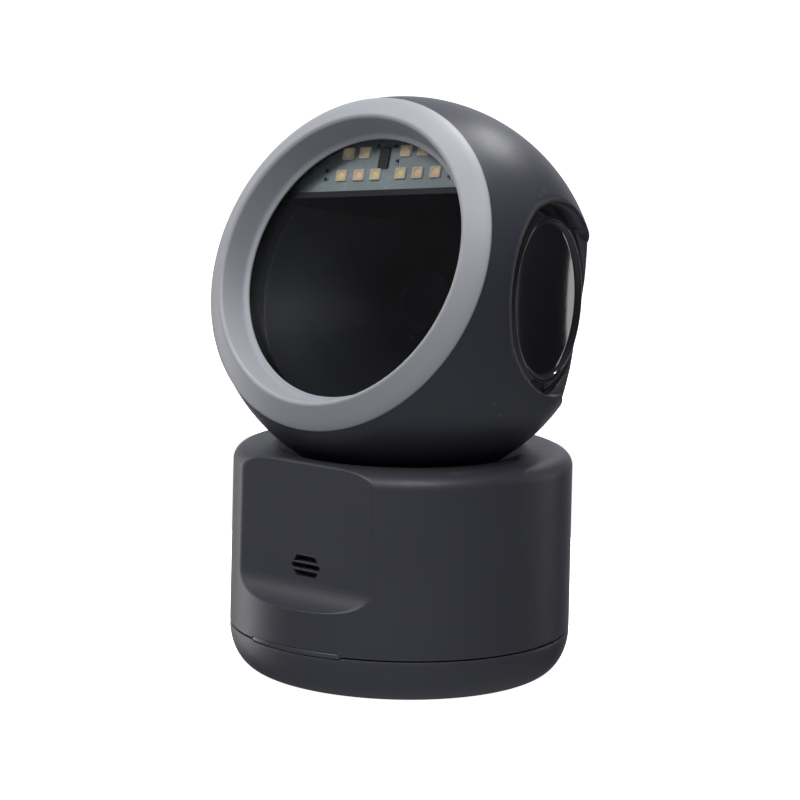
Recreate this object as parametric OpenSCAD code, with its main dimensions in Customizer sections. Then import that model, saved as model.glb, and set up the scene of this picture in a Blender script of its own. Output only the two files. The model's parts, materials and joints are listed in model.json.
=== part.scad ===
// Desktop presentation barcode scanner: a ball-shaped scan head that sits in the bowl of a round,
// weighted base. Millimetres, +Z up, front towards -Y, origin at the centre of the base's underside.

/* [Base] */
// Outer radius of the base at its seam
base_r = 44; // [42:0.5:48]
// Height of the base's rim above the table
base_h = 58.2; // [56:0.2:60]
// Height of the seam between the upper shell and the lower cover
seam_z = 11.75; // [11:0.25:13]
// Wall thickness of the base mouldings
base_wall = 2.2; // [1.8:0.1:2.6]
// Distance of the flat front panel from the base's axis
panel_y = 38; // [37:0.5:40]
// How far the rubber pad stands proud of the lower cover
pad_drop = 0.4; // [0.3:0.1:0.8]

/* [Head] */
// Radius of the ball-shaped head
ball_r = 49.5; // [48:0.5:50]
// Height of the ball's centre above the table
ball_z = 97.9; // [97:0.1:99]
// Place of the ball's centre along Y
ball_y = -1.3; // [-2:0.1:1]
// Wall thickness of the head mouldings
head_wall = 2.2; // [1.8:0.1:2.6]
// How far the nose points above the horizon
nose_up = 21.3; // [10:0.1:30]
// How far the head leans about its nose axis, right side up
head_roll = 5.8; // [-8:0.1:8]

/* [Front window] */
// Radius of the bezel ring's outer edge
bezel_r = 43.3; // [42:0.1:44]
// Radius of the clear opening inside the bezel ring
opening_r = 33.6; // [30:0.1:34]
// Thickness of the window pane
window_t = 1.5; // [1:0.1:2]

/* [Side caps] */
// Radius of each glossy side cap
cap_r = 23.8; // [22:0.2:24]
// Angle of the side caps' axes behind the X axis
cap_back = 11; // [0:1:16]
// Half height of the flattened belt behind the side caps
belt_half = 21.2; // [19:0.2:22]
// Radius of the belt at its middle
belt_r = 45.6; // [45:0.1:46.5]

/* [Motion] */
// Lowest nose angle
tilt_low = 7; // [7:1:15]
// Highest nose angle
tilt_high = 33; // [28:1:33]
// Greatest lean of the head to either side
roll_max = 8; // [6:1:8]
// Greatest swivel of the head to either side
swivel_max = 45; // [30:5:50]

/* [Hidden] */
$fn = 96;
eps = 0.01;
big = 200;
white = [0.92, 0.92, 0.9];
shell_black = [0.13, 0.13, 0.15];
gloss_black = [0.04, 0.04, 0.05];
bezel_grey = [0.62, 0.62, 0.66];
board_green = [0.36, 0.43, 0.4];
steel = [0.66, 0.67, 0.69];
brass = [0.75, 0.6, 0.32];
rubber_grey = [0.1, 0.1, 0.1];
nylon = [0.85, 0.84, 0.8];

// Screws: head radius, head height, shank radius, shank length
base_screw = [2.7, 1.8, 1.4, 17];
board_screw = [2, 1.2, 0.9, 6];
housing_screw = [2.4, 1.6, 1.15, 5];
rear_screw = [2.7, 1.8, 1.4, 10];
chassis_screw = [1.9, 1.2, 1.1, 6];
decoder_screw = [2.1, 1.2, 1.05, 6];
cross_w = 0.7;
cross_deep = 0.9;
cross_reach = 0.6;
pilot_gap = 0.05;
head_gap = 0.3;

// Base levels
cover_z = pad_drop;
seam_gap = 0.3;
corner_b = seam_z - seam_gap / 2 - cover_z;
floor_z = seam_z - corner_b + base_wall;
edge_a = 7.6;
base_in = base_r - base_wall;
rim_a = 5.2;
rim_b = 4.2;
draft = 0.35;
ledge_top = 29;
ledge_low = 22;
lip_h = 2.4;
bowl_r = ball_r + 1.4;
bowl_wall = 2.2;
bowl_hole_r = 9;
lip_round = 3;
lip_drop = ball_z - base_h + lip_round;
lip_centre_r = sqrt(pow(bowl_r + lip_round, 2) - pow(lip_drop, 2));
lip_touch_z = ball_z - lip_drop * bowl_r / (bowl_r + lip_round);
plate_z = ball_z - bowl_r - bowl_wall;
board_z = 20;
board_t = 1.6;
board_x = 42;
board_y = 56;
board_front = 21;
chip_x = 9;
chip_t = 1.2;
buzzer_r = 6.3;
buzzer_t = 5.6;
column_r = 3.4;
column_h = 12;
board_spots = [for (x = [-17, 17]) for (y = [-17, 22]) [x, y]];
screw_spots = [[30, 0], [-30, 0], [0, -30]];
pad_r = 25.5;
pad_t = 1.25;
label_x = 24;
label_y = 6;
label_t = 0.2;
label_place = 31.4;
weight_r = 33;
weight_t = 4;
weight_z = floor_z;
bar_half = 18.8;
bar_h = 1.3;
bar_z = seam_z + 0.2;
slot_z = 31.9;
slot_half = 4.75;
slot_slope = 0.62;
slot_rows = [[1.1, 2.75], [-0.75, 0.75], [-2.75, -1.1]];
port_w = 15;
port_d = 14;
port_h = 12.6;
port_y = 41.05;
port_hole_w = 12;
port_hole_h = 8.2;
port_hole_z = board_z + board_t + 6.2;

// Swivel and ball clamp
stem_r = 5;
stem_bore = 3.2;
stem_low = 24.5;
stem_high = 67;
bush_clear = 0.05;
bush_r = 7;
bush_low = 30;
housing_r = 11;
flange_r = 20;
flange_t = 2.4;
flange_ring = 16;
stop_r = 14;
stop_angle = swivel_max + 22;
stem_slot = stem_r + 0.6;
travel_gap = 0.3;
tilt_mid = (tilt_low + tilt_high) / 2;
tilt_half = (tilt_high - tilt_low) / 2;
dish_out = ball_r - head_wall - travel_gap;
dish_t = 2;
dish_in = dish_out - dish_t;
washer_out = dish_in - travel_gap;
washer_t = 1.8;
washer_r = 9.5;
spring_r = 8.6;
spring_z = ball_z - sqrt(pow(washer_out - washer_t, 2) - pow(spring_r, 2));
nut_z = 62.2;
nut_h = 3.6;

// Head levels, measured towards the nose from the ball's centre
mouth_h = sqrt(ball_r * ball_r - bezel_r * bezel_r);
rear_y = 28;
head_in = ball_r - head_wall;
crest_r = 37.55;
crest_h = 27.4;
crest_round = 0.9;
ledge_r = 34.9;
ledge_h = 21.8;
lip_hh = 20.6;
spigot_r = 40;
window_r = 38.2;
window_h = lip_hh - window_t - 0.1;
gasket_t = 1;
gasket_h = window_h - gasket_t;
led_board_h = gasket_h - 3.1;
led_board_t = 1.2;
led_board_low = 21.2;
led_board_r = 36.9;
led_face_h = led_board_h + led_board_t;
led_x = 3.5;
led_z = 3;
led_t = 0.6;
led_row_low = [for (s = [-1, 1]) for (x = [4, 9.3, 14.9]) [1.4 + s * x, 25.9]];
led_row_high = [for (s = [-1, 1]) for (x = [6.5, 11.9]) [-0.6 + s * x, 31.8]];
sensor_x = 3;
sensor_z = 5.4;
sensor_t = 0.65;
hood_front_r = 35.4;
hood_front_h = gasket_h;
hood_neck_h = 12.6;
hood_back_r = 10;
hood_back_h = -12;
hood_wall = 1.6;
chassis_h = 14;
chassis_t = 1.6;
chassis_r = 43.2;
chassis_side = 38.3;
boss_ring = 42;
boss_r = 3.4;
cap_floor = 36.9;
cap_cup = 1.7;
cap_edge = 38.8;
cap_crest = 40.6;
cap_crest_r = 20.3;
cap_dish_r = 19.3;
cap_dish = 37.9;
pocket_gap = 0.2;
belt_arc = 160;
main_board_y = 31;
camera_x = 22;
camera_z = 20;
barrel_r = 8;
lens_r = 6;
lens_low = -17;
decoder_x = 44;
decoder_z = 34;
shield_x = 18;
shield_t = 2.4;
rear_spots = [[-20, 30], [20, 30]];
standoff_spots = [for (x = [-17, 17]) for (z = [-13, 13]) [x, z]];

// ---- Helpers ----

// Points along an ellipse arc, from angle a0 to a1
function arc(cx, cy, rx, ry, a0, a1, n = 8) =
    [for (i = [0:n]) let (a = a0 + (a1 - a0) * i / n) [cx + rx * cos(a), cy + ry * sin(a)]];

// Ball's centre, upright
module at_ball() translate([0, ball_y, ball_z]) children();

// Frame that tilts with the head, but doesn't lean with it
module dish_frame() at_ball() rotate([-nose_up, 0, 0]) children();

// The head's own frame: nose along -Y, its top along +Z
module head_frame() dish_frame() rotate([0, -head_roll, 0]) children();

// Turns a profile of (radius, distance towards the nose) about the nose axis
module about_nose() rotate([90, 0, 0]) rotate_extrude() children();

// Cylinder along the nose axis, from h0 to h1 towards the nose
module nose_cylinder(r, h0, h1) rotate([90, 0, 0]) translate([0, 0, h0]) cylinder(r = r, h = h1 - h0);

// Frame of a side cap: +Z along the cap's axis
module cap_frame(side) rotate([0, 0, side > 0 ? cap_back : 180 - cap_back]) rotate([0, 90, 0]) children();

// Flat bar with round corners, centred in X and Y
module rounded_bar(x, y, r, h) {
    translate([-x / 2 + r, -y / 2, 0]) cube([x - 2 * r, y, h]);
    translate([-x / 2, -y / 2 + r, 0]) cube([x, y - 2 * r, h]);
    for (i = [-1, 1])
        for (j = [-1, 1])
            translate([i * (x / 2 - r), j * (y / 2 - r), 0]) cylinder(r = r, h = h);
}

// Cross-slotted pan-head screw: head up, shank down from the origin
module pan_screw(screw) {
    head_r = screw[0];
    head_h = screw[1];
    difference() {
        cylinder(r = head_r, h = head_h);
        for (a = [0, 90]) rotate([0, 0, a])
            translate([-head_r * cross_reach, -cross_w / 2, head_h - cross_deep])
                cube([2 * head_r * cross_reach, cross_w, 1]);
    }
    translate([0, 0, -screw[3]]) cylinder(r = screw[2], h = screw[3] + eps);
}

// The same screw at each spot of a list, standing up in Z
module screws_at(spots, z, screw)
    for (p = spots) translate([p[0], p[1], z]) pan_screw(screw);

// ---- Base ----

// Outer form of the upper shell, before its panel and its bowl
module base_upper_form() rotate_extrude() polygon(concat(
    [[0, seam_z + seam_gap / 2], [base_r, seam_z + seam_gap / 2]],
    arc(base_r - draft - rim_a, base_h - rim_b, rim_a, rim_b, 0, 90, 10),
    [[0, base_h]]));

// What the flat panel and the curved ledge below it take away
module panel_cut() rotate([90, 0, 90]) translate([0, 0, -base_r]) linear_extrude(2 * base_r) polygon(concat(
    [[-base_r - 10, base_h + 10], [-panel_y, base_h + 10]],
    arc(-panel_y - 7.5, ledge_top, 7.5, ledge_top - ledge_low, 0, -90, 10),
    [[-base_r - 10, ledge_low]]));

// The bowl that the ball sits in, with a rounded mouth that runs smoothly into the bowl
module bowl_cut() {
    at_ball() sphere(r = bowl_r, $fn = 128);
    translate([0, ball_y, 0]) rotate_extrude() difference() {
        translate([0, lip_touch_z]) square([lip_centre_r, base_h + 1 - lip_touch_z]);
        translate([lip_centre_r, base_h - lip_round]) circle(r = lip_round);
    }
}

module base_upper_shell() color(shell_black) {
    difference() {
        union() {
            difference() {
                base_upper_form();
                panel_cut();
                upper_cavity();
            }
            for (p = screw_spots) screw_column(p);
            for (a = [45:90:315])
                rotate([0, 0, a]) translate([flange_ring, 0, plate_z]) cylinder(r = column_r, h = 5);
        }
        bowl_cut();
        translate([0, ball_y, plate_z - 1]) cylinder(r = bowl_hole_r, h = 10);
        for (p = screw_spots) translate([p[0], p[1], seam_z])
            cylinder(r = base_screw[2] + pilot_gap, h = column_h - 1);
        for (a = [45:90:315])
            rotate([0, 0, a]) translate([flange_ring, 0, plate_z - eps])
                cylinder(r = housing_screw[2] + pilot_gap, h = 3);
        buzzer_slots();
        light_bar_space(0.12);
        translate([-port_hole_w / 2, 36, port_hole_z - port_hole_h / 2]) cube([port_hole_w, 10, port_hole_h]);
    }
}

// Hollow of the upper shell, which leaves the bowl's wall standing
module upper_cavity() difference() {
    intersection() {
        translate([0, 0, seam_z - 1]) cylinder(r = base_in, h = base_h - seam_z - 3.2);
        union() {
            translate([-big / 2, -panel_y + base_wall, 0]) cube([big, big, big]);
            translate([-big / 2, -big / 2, 0]) cube([big, big, ledge_low - base_wall]);
        }
    }
    at_ball() sphere(r = bowl_r + bowl_wall, $fn = 128);
}

// Column for a base screw, with a rib to the wall
module screw_column(p) {
    a = atan2(p[1], p[0]);
    reach = norm(p);
    translate([p[0], p[1], seam_z + seam_gap / 2]) cylinder(r = column_r, h = column_h);
    rotate([0, 0, a]) translate([reach, -1.2, seam_z + lip_h + 0.5]) cube([base_in + 1 - reach, 2.4, 5]);
}

// Three slots in front of the buzzer: one hexagon parted by two thin ribs
module buzzer_slots() translate([0, -panel_y + base_wall + 1, slot_z]) rotate([90, 0, 0])
    linear_extrude(base_wall + 3) for (row = slot_rows) intersection() {
        polygon([for (s = [[1, -1], [1, 0], [1, 1], [-1, 1], [-1, 0], [-1, -1]])
            [s[0] * (slot_half - slot_slope * slot_half * abs(s[1])), s[1] * slot_half]]);
        translate([-slot_half, row[0]]) square([2 * slot_half, row[1] - row[0]]);
    }

// Room for the light pipe at the seam
module light_bar_space(gap) rotate([0, 0, -90 - bar_half - gap]) rotate_extrude(angle = 2 * (bar_half + gap))
    translate([base_in - 1.5, bar_z - bar_h / 2 - gap]) square([base_wall + 3, bar_h + 2 * gap]);

module base_lower_cover() color(shell_black) {
    difference() {
        union() {
            difference() {
                rotate_extrude() polygon(concat([[0, cover_z]],
                    arc(base_r - edge_a, seam_z - seam_gap / 2, edge_a, corner_b, -90, 0, 12),
                    [[0, seam_z - seam_gap / 2]]));
                rotate_extrude() polygon(concat([[0, floor_z]],
                    arc(base_r - edge_a, seam_z, edge_a - base_wall, corner_b - base_wall, -90, 0, 12),
                    [[base_in, seam_z + 1], [0, seam_z + 1]]));
            }
            difference() {
                translate([0, 0, seam_z - 2.2]) cylinder(r = base_in, h = lip_h + 2.2);
                translate([0, 0, seam_z - 3]) cylinder(r = base_in - 1.4, h = lip_h + 4);
            }
            for (p = screw_spots)
                translate([p[0], p[1], cover_z]) cylinder(r = 4.2, h = seam_z + seam_gap / 2 - cover_z);
            for (p = board_spots)
                translate([p[0], p[1], cover_z + 1]) cylinder(r = 2.6, h = board_z - cover_z - 1);
        }
        for (p = board_spots) translate([p[0], p[1], board_z - 6])
            cylinder(r = board_screw[2] + pilot_gap, h = 7);
        for (p = screw_spots) translate([p[0], p[1], cover_z - 1]) {
            cylinder(r = base_screw[2] + 0.2, h = 20);
            cylinder(r = base_screw[0] + head_gap, h = 4.2);
        }
        translate([0, 0, -1]) cylinder(r = pad_r + 0.1, h = pad_t + 1);
        translate([0, label_place, cover_z - 1])
            rounded_bar(label_x + 0.4, label_y + 0.4, 1.2, 1 + label_t + 0.05);
        light_bar_space(0.12);
        intersection() {
            translate([-10, -base_r, bar_z - 4]) cube([20, base_r - panel_y + 1, 15]);
            cylinder(r = base_in, h = 30);
        }
    }
}

module status_light_pipe() color([0.5, 0.52, 0.54])
    rotate([0, 0, -90 - bar_half]) rotate_extrude(angle = 2 * bar_half)
        translate([base_in - 1.2, bar_z - bar_h / 2]) square([base_wall + 1.2, bar_h]);

module status_led_board() color(board_green) {
    translate([-9, -38.6, bar_z - 5.5]) cube([18, 1, 7.5]);
    for (x = [-6, 0, 6]) translate([x - 1, -39.8, bar_z - 0.7]) cube([2, 1.2 + eps, 1.4]);
}

module anti_slip_pad() color(rubber_grey) cylinder(r = pad_r, h = pad_t);

module counterweight_plate() color(steel) difference() {
    translate([0, 0, weight_z]) cylinder(r = weight_r, h = weight_t);
    for (p = screw_spots) translate([p[0], p[1], 0]) cylinder(r = 4.8, h = 20);
    for (p = board_spots) translate([p[0], p[1], 0]) cylinder(r = 3.2, h = 20);
}

module base_screws() color(steel) for (p = screw_spots)
    translate([p[0], p[1], cover_z + 3.2]) mirror([0, 0, 1]) pan_screw(base_screw);

module bottom_label() color(white)
    translate([0, label_place, cover_z + 0.03]) rounded_bar(label_x, label_y, 1, label_t);

module base_circuit_board() color(board_green) difference() {
    translate([-board_x / 2, -board_front, board_z]) cube([board_x, board_y, board_t]);
    for (p = board_spots) translate([p[0], p[1], board_z - 1]) cylinder(r = 1.2, h = 5);
}

module board_fixings() color(steel) screws_at(board_spots, board_z + board_t, board_screw);

module base_processor() color(gloss_black)
    translate([-15, 3, board_z + board_t]) cube([chip_x, chip_x, chip_t]);

module harness_socket() color(nylon) difference() {
    translate([-5, -3.4, board_z + board_t]) cube([10, 5, 2.6]);
    translate([-4.2, -2.6, board_z + board_t + 0.8]) cube([8.4, 3.4, 4]);
}

module host_port() color(gloss_black) difference() {
    translate([-port_w / 2, port_y - port_d, board_z + board_t]) cube([port_w, port_d, port_h]);
    translate([-port_hole_w / 2 + 0.2, port_y - port_d + 3, port_hole_z - port_hole_h / 2 + 0.2])
        cube([port_hole_w - 0.4, port_d, port_hole_h - 0.4]);
}

module port_contacts() color(brass) for (i = [0:9])
    translate([(i - 4.5) * 1.02 - 0.2, port_y - port_d + 3, port_hole_z + port_hole_h / 2 - 0.8])
        cube([0.4, 6, 0.4]);

module buzzer() color(gloss_black) difference() {
    translate([0, -panel_y + base_wall, slot_z]) rotate([-90, 0, 0]) cylinder(r = buzzer_r, h = buzzer_t);
    translate([0, -panel_y + base_wall - 1, slot_z]) rotate([-90, 0, 0]) cylinder(r = 1.3, h = 2.5);
}

module glide_ring() color(nylon) at_ball() difference() {
    intersection() {
        sphere(r = bowl_r - 0.02, $fn = 128);
        translate([0, 0, -big / 2]) cylinder(r = 20.5, h = big / 2);
    }
    sphere(r = ball_r + travel_gap, $fn = 128);
    translate([0, 0, -big / 2]) cylinder(r = 16.5, h = big);
}

// ---- Swivel, which turns about the upright axis through the ball's centre ----

module swivel_housing() color(shell_black) translate([0, ball_y, 0]) difference() {
    union() {
        translate([0, 0, bush_low - 0.5]) cylinder(r = housing_r, h = plate_z - bush_low + 0.5);
        translate([0, 0, plate_z - flange_t]) cylinder(r = flange_r, h = flange_t);
        for (s = [-1, 1])
            rotate([0, 0, 90 + s * stop_angle]) translate([stop_r - 4.6, -1.5, stem_low + 0.8])
                cube([3.2, 3, plate_z - stem_low - 1]);
    }
    translate([0, 0, bush_low]) cylinder(r = bush_r, h = big);
    translate([0, 0, 0]) cylinder(r = 6.2, h = big);
    translate([0, -ball_y, 0]) for (a = [45:90:315])
        rotate([0, 0, a]) translate([flange_ring, 0, 0]) cylinder(r = 1.5, h = big);
}

module swivel_bushing() color(nylon) translate([0, ball_y, bush_low]) difference() {
    cylinder(r = bush_r, h = plate_z - bush_low);
    translate([0, 0, -1]) cylinder(r = stem_r + bush_clear, h = big);
}

module housing_screws() color(steel) for (a = [45:90:315])
    rotate([0, 0, a]) translate([flange_ring, 0, plate_z - flange_t])
        mirror([0, 0, 1]) pan_screw(housing_screw);

module neck_stem() color(steel) translate([0, ball_y, 0]) difference() {
    union() {
        translate([0, 0, stem_low]) cylinder(r = stem_r, h = stem_high - stem_low);
        translate([0, 0, plate_z + 0.2]) cylinder(r = 7.8, h = 1.5);
    }
    translate([0, 0, stem_low - 1]) cylinder(r = stem_bore, h = big);
    translate([0, 0, bush_low - 2.4]) difference() {
        cylinder(r = stem_r + 1, h = 1);
        translate([0, 0, -1]) cylinder(r = stem_r - 0.8, h = 4);
    }
}

module stem_clip() color(steel) translate([0, ball_y, bush_low - 2.3]) difference() {
    cylinder(r = 7.6, h = 0.8);
    translate([0, 0, -1]) cylinder(r = stem_r - 0.75, h = 4);
    translate([-3, 2, -1]) cube([6, 8, 4]);
}

module wave_washer() color(brass) translate([0, ball_y, bush_low - 1.45]) difference() {
    cylinder(r = 8, h = 0.7);
    translate([0, 0, -1]) cylinder(r = stem_r + 0.1, h = 4);
}

module swivel_stop() color(steel) translate([0, ball_y, stem_low + 0.3]) difference() {
    union() {
        cylinder(r = 7.4, h = 2.2);
        rotate([0, 0, 90]) translate([0, -1.5, 0]) cube([stop_r - 0.6, 3, 2.2]);
    }
    translate([0, 0, -1]) cylinder(r = stem_r, h = 5);
}

module stem_harness() color([0.2, 0.2, 0.22]) translate([0, ball_y, stem_low])
    cylinder(r = stem_bore - 0.4, h = stem_high - stem_low + 1.5);

module clamp_washer() color(nylon) at_ball() difference() {
    intersection() {
        difference() {
            sphere(r = washer_out, $fn = 128);
            sphere(r = washer_out - washer_t, $fn = 128);
        }
        translate([0, 0, -big / 2]) cylinder(r = washer_r, h = big / 2);
    }
    translate([0, 0, -big]) cylinder(r = stem_r, h = 2 * big);
}

// Stack of dished spring washers between the clamp washer and the nut
module clamp_spring() color(brass) translate([0, ball_y, spring_z]) difference() {
    union() {
        cylinder(r = 6.6, h = nut_z - spring_z);
        for (k = [0:3]) translate([0, 0, k * 1.7]) cylinder(r = spring_r, h = 0.8);
    }
    translate([0, 0, -1]) cylinder(r = stem_r, h = big);
}

module clamp_nut() color(steel) translate([0, ball_y, nut_z]) difference() {
    cylinder(r = 8, h = nut_h, $fn = 6);
    translate([0, 0, -1]) cylinder(r = stem_r, h = big);
}

// Spherical dish inside the ball, which the spring pulls down onto the shell
module clamp_dish() color(shell_black) dish_frame() rotate([tilt_mid, 0, 0]) difference() {
    intersection() {
        sphere(r = dish_out, $fn = 128);
        translate([0, 0, -big / 2]) rounded_bar(50, 54, 14, big / 2);
    }
    sphere(r = dish_in, $fn = 128);
    translate([0, 0, -big / 2])
        rounded_bar(2 * stem_slot, 2 * (dish_out * sin(tilt_half) + stem_slot), stem_slot - eps, big / 2);
}

// ---- Head ----

// Ring-shaped room outside the flattened belt, from one side cap round the back to the other
module belt_cut(inset) {
    reach = asin((belt_half + inset) / belt_arc);
    start = cap_back - asin(inset / belt_r);
    rotate([0, 0, start]) rotate_extrude(angle = 180 - 2 * start) polygon(concat(
        arc(belt_r - inset - belt_arc, 0, belt_arc, belt_arc, -reach, reach, 6),
        [[ball_r + 5, belt_half + inset], [ball_r + 5, -belt_half - inset]]));
}

// Bosses that the chassis and the rear cover are screwed to
module shell_bosses() {
    for (a = [45:90:315]) rotate([0, a, 0])
        translate([boss_ring, -4, 0]) nose_cylinder(boss_r, 0, chassis_h - 4);
    for (p = rear_spots) translate([p[0], rear_y - 12, p[1]]) rotate([-90, 0, 0]) cylinder(r = 4, h = 20);
}

// Opening in the ball's underside, as wide as the stem's path through tilt and lean
module stem_opening() {
    side = ball_r * sin(roll_max);
    travel = ball_r * sin(tilt_half);
    run = travel - side;
    r = norm([side, travel - run]) + stem_slot;
    rotate([tilt_mid, 0, 0]) translate([0, 0, -2 * ball_r]) linear_extrude(ball_r * 1.5) union() {
        translate([-r, -run]) square([2 * r, 2 * run]);
        for (i = [-1, 1]) translate([0, i * run]) circle(r = r);
    }
}

// Ball with its front cut off flat, at h towards the nose
module open_ball(r, h) about_nose() intersection() {
    circle(r = r, $fn = 128);
    translate([0, -big / 2]) square([big / 2, big / 2 + h]);
}

// The whole hollow head, before it parts into shell and rear cover
module hollow_head() difference() {
    open_ball(ball_r, mouth_h);
    belt_cut(0);
    difference() {
        open_ball(head_in, mouth_h + 1);
        belt_cut(head_wall);
        for (s = [-1, 1])
            cap_frame(s) translate([0, 0, cap_floor - cap_cup]) cylinder(r = cap_r + cap_cup, h = 20);
        shell_bosses();
    }
    for (s = [-1, 1])
        cap_frame(s) translate([0, 0, cap_floor]) cylinder(r = cap_r + pocket_gap, h = 30);
    for (a = [45:90:315]) rotate([0, a, 0])
        translate([boss_ring - 1.2, -chassis_h - 1, 0]) rotate([-90, 0, 0])
            cylinder(r = chassis_screw[2] + pilot_gap, h = 8);
    for (p = rear_spots) translate([p[0], rear_y - 10, p[1]]) rotate([-90, 0, 0])
        cylinder(r = rear_screw[2] + 0.1, h = 30);
    stem_opening();
}

module head_shell() color(shell_black) head_frame() intersection() {
    hollow_head();
    translate([-big / 2, -big / 2, -big / 2]) cube([big, big / 2 + rear_y, big]);
}

module head_rear_cover() color(shell_black) head_frame() difference() {
    intersection() {
        hollow_head();
        translate([-big / 2, rear_y, -big / 2]) cube([big, big / 2, big]);
    }
    for (p = rear_spots) translate([p[0], rear_y + 2.2, p[1]]) rotate([-90, 0, 0])
        cylinder(r = rear_screw[0] + head_gap, h = 20);
}

module rear_cover_screws() color(steel) head_frame() for (p = rear_spots)
    translate([p[0], rear_y + 2.2, p[1]]) rotate([-90, 0, 0]) pan_screw(rear_screw);

// Light grey ring: sloped outside, rounded crest, funnel, then a narrow ledge round the window
module bezel_ring() color(bezel_grey) head_frame() about_nose() polygon(concat(
    [[spigot_r, mouth_h], [bezel_r, mouth_h], [bezel_r - 0.25, mouth_h + 0.75]],
    arc(crest_r, crest_h, crest_round, crest_round, 52, 168, 8),
    [[ledge_r, ledge_h], [opening_r + 0.2, ledge_h - 0.4], [opening_r, ledge_h - 0.7], [opening_r, lip_hh],
     [window_r + 0.1, lip_hh], [window_r + 0.1, gasket_h + 0.2], [spigot_r, gasket_h + 0.2]]));

module window_pane() color([0.6, 0.65, 0.7, 0.35]) head_frame()
    nose_cylinder(window_r, window_h, window_h + window_t);

module window_gasket() color(rubber_grey) head_frame() difference() {
    nose_cylinder(window_r, gasket_h, gasket_h + gasket_t);
    nose_cylinder(opening_r + 1.4, gasket_h - 1, gasket_h + 5);
}

// Black funnel from the window to the camera, cut flat under the illumination board
module hood_form() about_nose() polygon([[0, hood_front_h], [hood_front_r + hood_wall, hood_front_h],
    [hood_front_r + hood_wall, hood_neck_h - 0.6], [hood_back_r + hood_wall, hood_back_h], [0, hood_back_h]]);

module light_hood() color(gloss_black) head_frame() difference() {
    union() {
        difference() {
            hood_form();
            translate([-big / 2, -big / 2, led_board_low]) cube([big, big, big]);
        }
        nose_cylinder(24.5, hood_back_h - 1.6, hood_back_h);
    }
    difference() {
        about_nose() polygon([[0, big], [hood_front_r, big], [hood_front_r, hood_neck_h],
            [hood_back_r, hood_back_h], [0, hood_back_h]]);
        translate([-big / 2, -big / 2, led_board_low - hood_wall]) cube([big, big, big]);
    }
    nose_cylinder(hood_back_r - 0.5, hood_back_h - 5, hood_back_h + 1);
}

// Segment-shaped lighting board behind the top of the window
module illumination_board() color(board_green) head_frame() intersection() {
    nose_cylinder(led_board_r, led_board_h, led_board_h + led_board_t);
    translate([-big / 2, -big / 2, led_board_low]) cube([big, big, big]);
}

module illumination_leds() color([0.95, 0.8, 0.5]) head_frame()
    for (p = concat(led_row_low, led_row_high)) intersection() {
        translate([p[0] - led_x / 2, -led_face_h - led_t, p[1] - led_z / 2]) cube([led_x, led_t, led_z]);
        nose_cylinder(35, 0, big);
    }

module presence_sensor() color(gloss_black) head_frame()
    translate([-2.1, -led_face_h - sensor_t, 27.5]) cube([sensor_x, sensor_t, sensor_z]);

// Ring that carries the hood inside the shell
module hood_chassis() color(shell_black) head_frame() difference() {
    intersection() {
        nose_cylinder(chassis_r, chassis_h, chassis_h + chassis_t);
        translate([-chassis_side, -big / 2, -big / 2]) cube([2 * chassis_side, big, big]);
    }
    nose_cylinder(hood_front_r + hood_wall, 0, big);
    for (a = [45:90:315]) rotate([0, a, 0])
        translate([boss_ring - 1.2, 0, 0]) nose_cylinder(1.3, chassis_h - 2, chassis_h + 4);
}

module chassis_screws() color(steel) head_frame() for (a = [45:90:315])
    rotate([0, a, 0]) translate([boss_ring - 1.2, -chassis_h - chassis_t, 0])
        rotate([90, 0, 0]) pan_screw(chassis_screw);

module camera_body() color(gloss_black) head_frame()
    translate([-camera_x / 2, -lens_low, -camera_z / 2])
        cube([camera_x, main_board_y + lens_low, camera_z]);

module lens_barrel() color([0.08, 0.08, 0.09]) head_frame() difference() {
    nose_cylinder(barrel_r, lens_low, -8.5);
    nose_cylinder(lens_r, -10, 0);
}

module lens_glass() color([0.3, 0.35, 0.5, 0.5]) head_frame() intersection() {
    nose_cylinder(lens_r, -10, -8.9);
    translate([0, 20, 0]) sphere(r = 28.9);
}

module camera_standoffs() color(brass) head_frame() for (p = standoff_spots)
    translate([p[0], -hood_back_h + 1.6, p[1]]) rotate([-90, 0, 0]) difference() {
        cylinder(r = 2.4, h = main_board_y + hood_back_h - 1.6);
        translate([0, 0, 8]) cylinder(r = 1.1, h = 20);
    }

module decoder_board() color(board_green) head_frame() difference() {
    translate([-decoder_x / 2, main_board_y, -decoder_z / 2]) cube([decoder_x, board_t, decoder_z]);
    for (p = standoff_spots)
        translate([p[0], main_board_y - 1, p[1]]) rotate([-90, 0, 0]) cylinder(r = 1.3, h = 5);
}

module decoder_shield() color(steel) head_frame()
    translate([-shield_x / 2, main_board_y + board_t, -shield_x / 2]) cube([shield_x, shield_t, shield_x]);

module board_screws() color(steel) head_frame() for (p = standoff_spots)
    translate([p[0], main_board_y + board_t, p[1]]) rotate([-90, 0, 0]) pan_screw(decoder_screw);

// Glossy cap in the head's side: sloped skirt, rounded rim and a shallow dish
module side_cap(side) color(gloss_black) head_frame() cap_frame(side) rotate_extrude() polygon(concat(
    [[0, cap_floor + eps], [cap_r, cap_floor + eps], [cap_r, cap_edge], [cap_r - 1.6, cap_edge + 0.6]],
    arc(cap_crest_r, cap_crest - 0.7, 0.7, 0.7, 40, 150, 6),
    [for (i = [0:8]) let (u = 1 - i / 8) [cap_dish_r * u, cap_dish + (cap_crest - 1.2 - cap_dish) * u * u]]));

module side_cap_right() side_cap(1);
module side_cap_left() side_cap(-1);

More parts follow.
